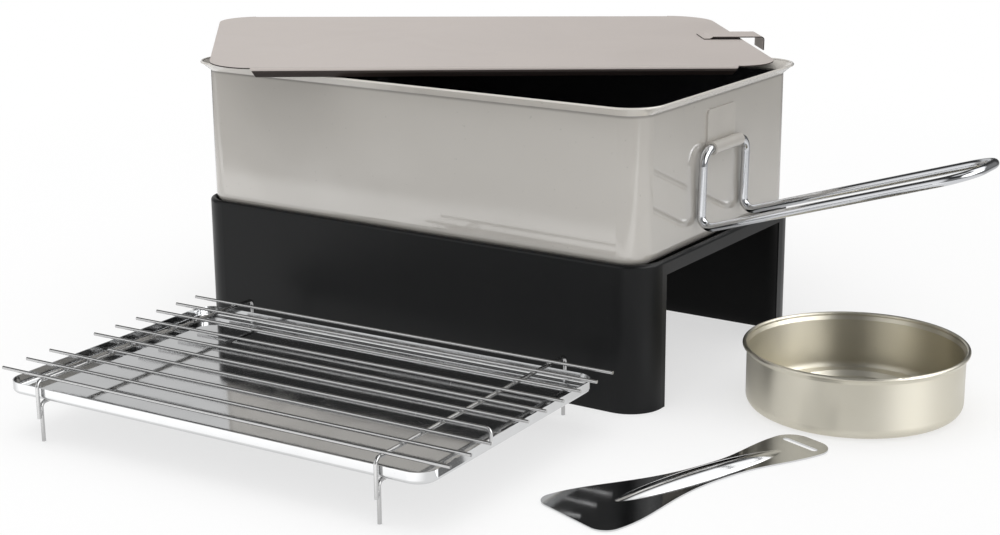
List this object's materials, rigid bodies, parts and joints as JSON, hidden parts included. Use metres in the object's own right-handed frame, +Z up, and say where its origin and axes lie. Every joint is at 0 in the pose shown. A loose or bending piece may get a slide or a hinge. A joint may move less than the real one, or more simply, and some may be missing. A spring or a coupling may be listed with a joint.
{
  "type": "stovetop smoker box",
  "caption": "Stovetop smoker set: open-ended sheet stand, deep lidded box with folding wire handle, wire rack with drip tray, round fuel tin and a sheet-metal lifter.",
  "frame": {"origin": "on the table, under the middle of the set's bounding box", "axes": "+Z up from the table; +X along the stand towards the open end that faces the handle; +Y from the rack towards the stand"},
  "size_m": [0.7052, 0.6828, 0.2335],
  "materials": {
    "black_coat": "satin black powder coat",
    "grey_enamel": "glossy warm grey enamel, near black inside the box",
    "taupe_coat": "matt taupe coat",
    "bright_wire": "bright chrome plate",
    "rack_wire": "bright steel wire",
    "polished_sheet": "mirror polished stainless sheet",
    "tinplate": "soft warm tinplate"
  },
  "bodies": {
    "stand": {"stand": "black_coat"},
    "box": {"smoker_box": "grey_enamel", "handle_strap": "grey_enamel"},
    "handle": {"wire_handle": "bright_wire"},
    "lid": {"lid": "taupe_coat"},
    "rack": {"rack_rod_1": "rack_wire", "rack_rod_2": "rack_wire", "rack_rod_3": "rack_wire", "rack_rod_4": "rack_wire", "rack_rod_5": "rack_wire", "rack_rod_6": "rack_wire", "rack_rod_7": "rack_wire", "rack_rod_8": "rack_wire", "rack_rod_9": "rack_wire", "rack_rod_10": "rack_wire", "rack_leg_frame_left": "rack_wire", "rack_leg_frame_right": "rack_wire", "tray_support_left": "rack_wire", "tray_support_right": "rack_wire"},
    "tray": {"drip_tray": "polished_sheet"},
    "burner": {"burner_tin": "tinplate"},
    "lifter": {"lifter": "polished_sheet"}
  },
  "joints": [
    {"name": "box_lift", "type": "slide", "parent": "stand", "child": "box", "axis": [0, 0, 1], "range_m": [0, 0.15]},
    {"name": "handle_swing", "type": "hinge", "parent": "box", "child": "handle", "pos_m": [0.15033, 0.04657, 0.178], "axis": [0, -1, 0], "range_deg": [0, 155]},
    {"name": "lid_lift", "type": "slide", "parent": "box", "child": "lid", "axis": [0, 0, 1], "range_m": [0, 0.15]},
    {"name": "rack_lift", "type": "slide", "parent": "stand", "child": "rack", "axis": [0, 0, 1], "range_m": [0, 0.15]},
    {"name": "tray_slide", "type": "slide", "parent": "rack", "child": "tray", "axis": [-0.9993, -0.0384, 0], "range_m": [0, 0.36]},
    {"name": "burner_slide", "type": "slide", "parent": "stand", "child": "burner", "axis": [-0.999, 0.045, 0], "range_m": [0, 0.32]},
    {"name": "lifter_lift", "type": "slide", "parent": "stand", "child": "lifter", "axis": [0, 0, 1], "range_m": [0, 0.12]}
  ]
}
